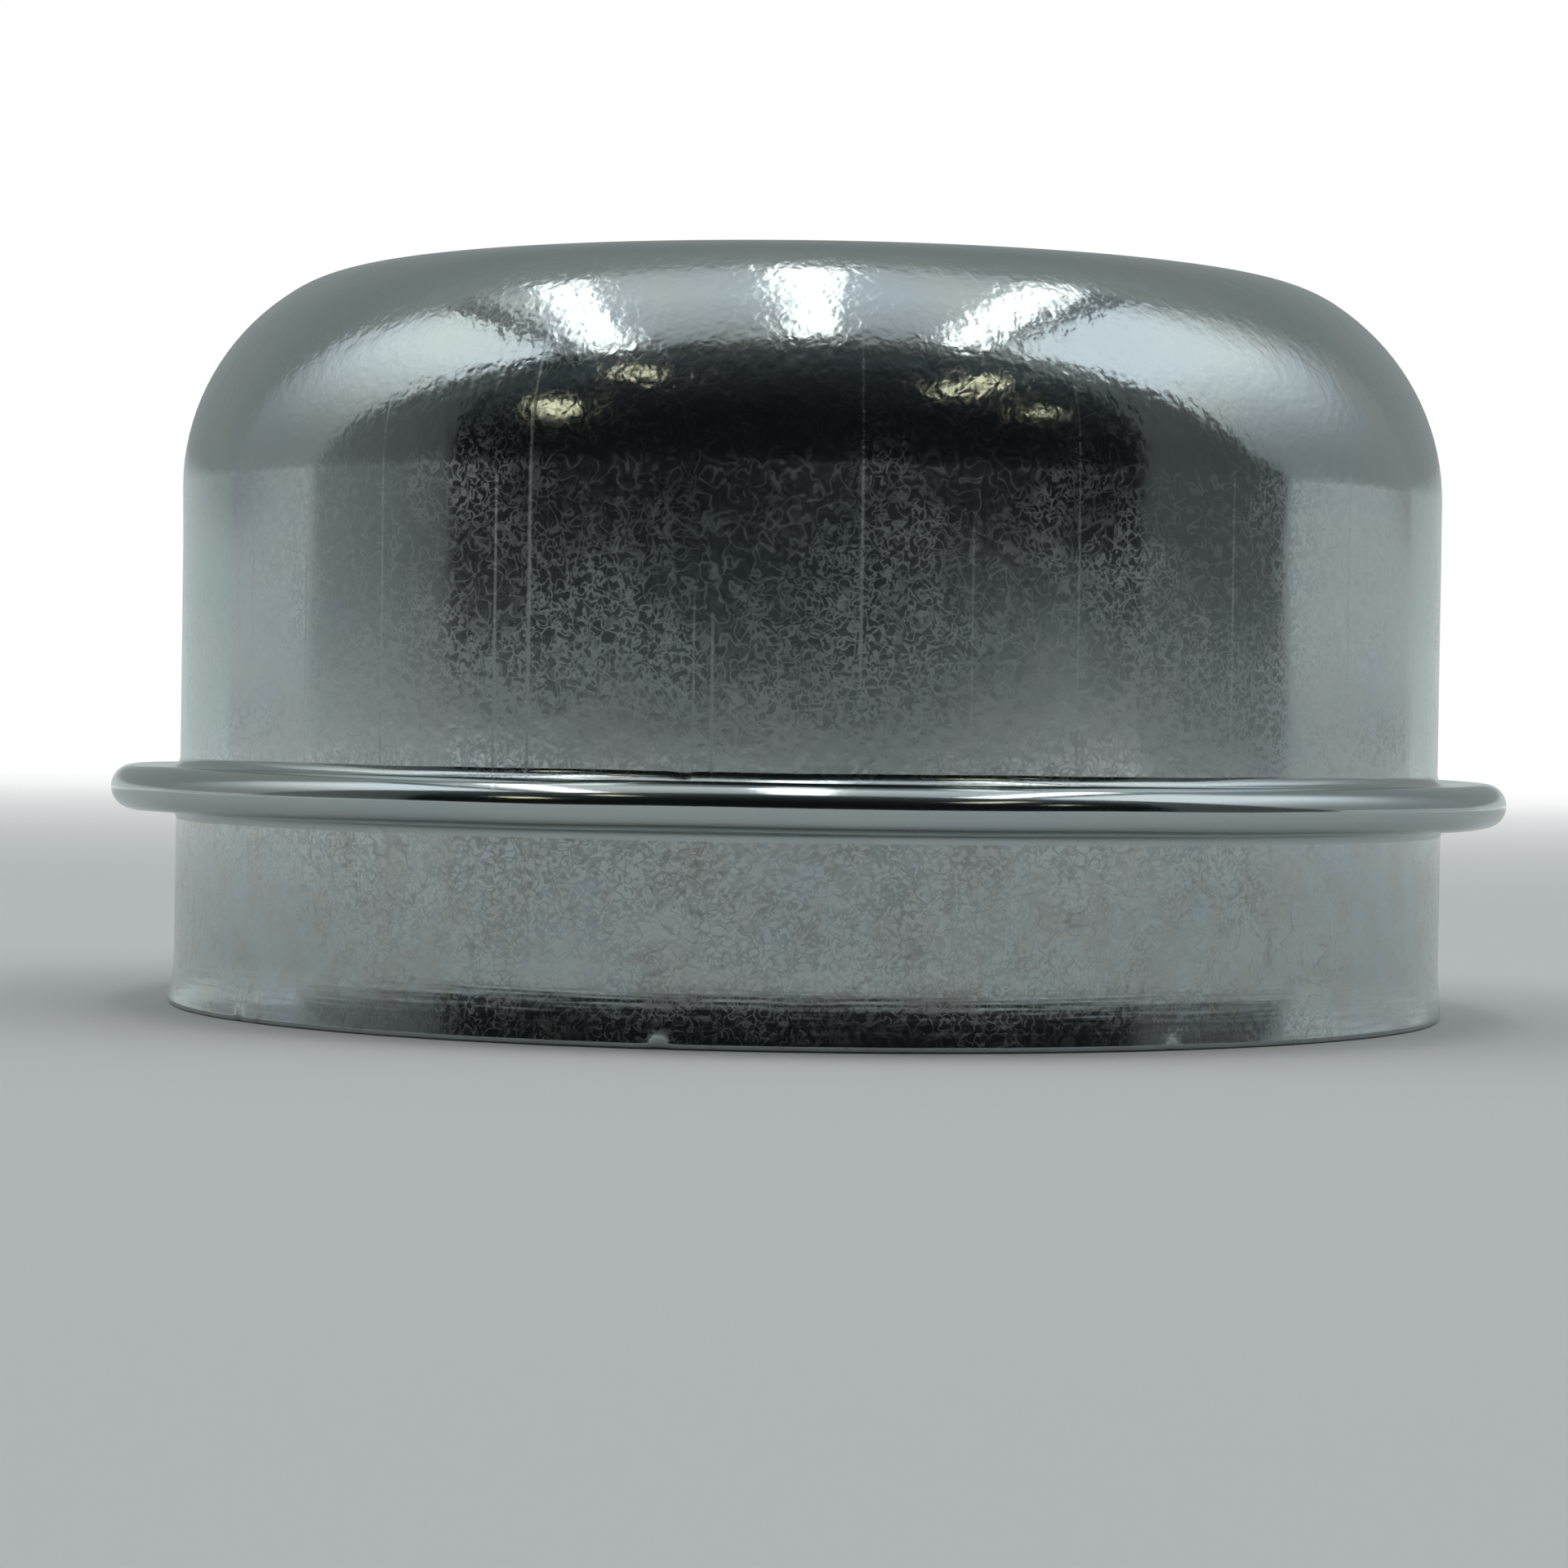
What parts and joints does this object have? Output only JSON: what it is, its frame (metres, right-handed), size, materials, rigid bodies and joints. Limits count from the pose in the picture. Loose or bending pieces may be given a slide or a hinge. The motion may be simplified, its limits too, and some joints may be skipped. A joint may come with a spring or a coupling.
{
  "type": "dust cap",
  "caption": "Drawn sheet steel dust cap for a trailer wheel hub, with a drive-in skirt, a folded stop bead and a deep domed shell.",
  "frame": {"origin": "centre of the open rim, on the plane the rim stands on", "axes": "+Z along the cap's axis, from the open rim towards the closed end"},
  "size_m": [0.0554, 0.0554, 0.029],
  "materials": {
    "zinc_plated_steel": "bright zinc plate, slightly orange-peeled by drawing"
  },
  "bodies": {
    "root": {"dust_cap": "zinc_plated_steel"}
  },
  "joints": []
}
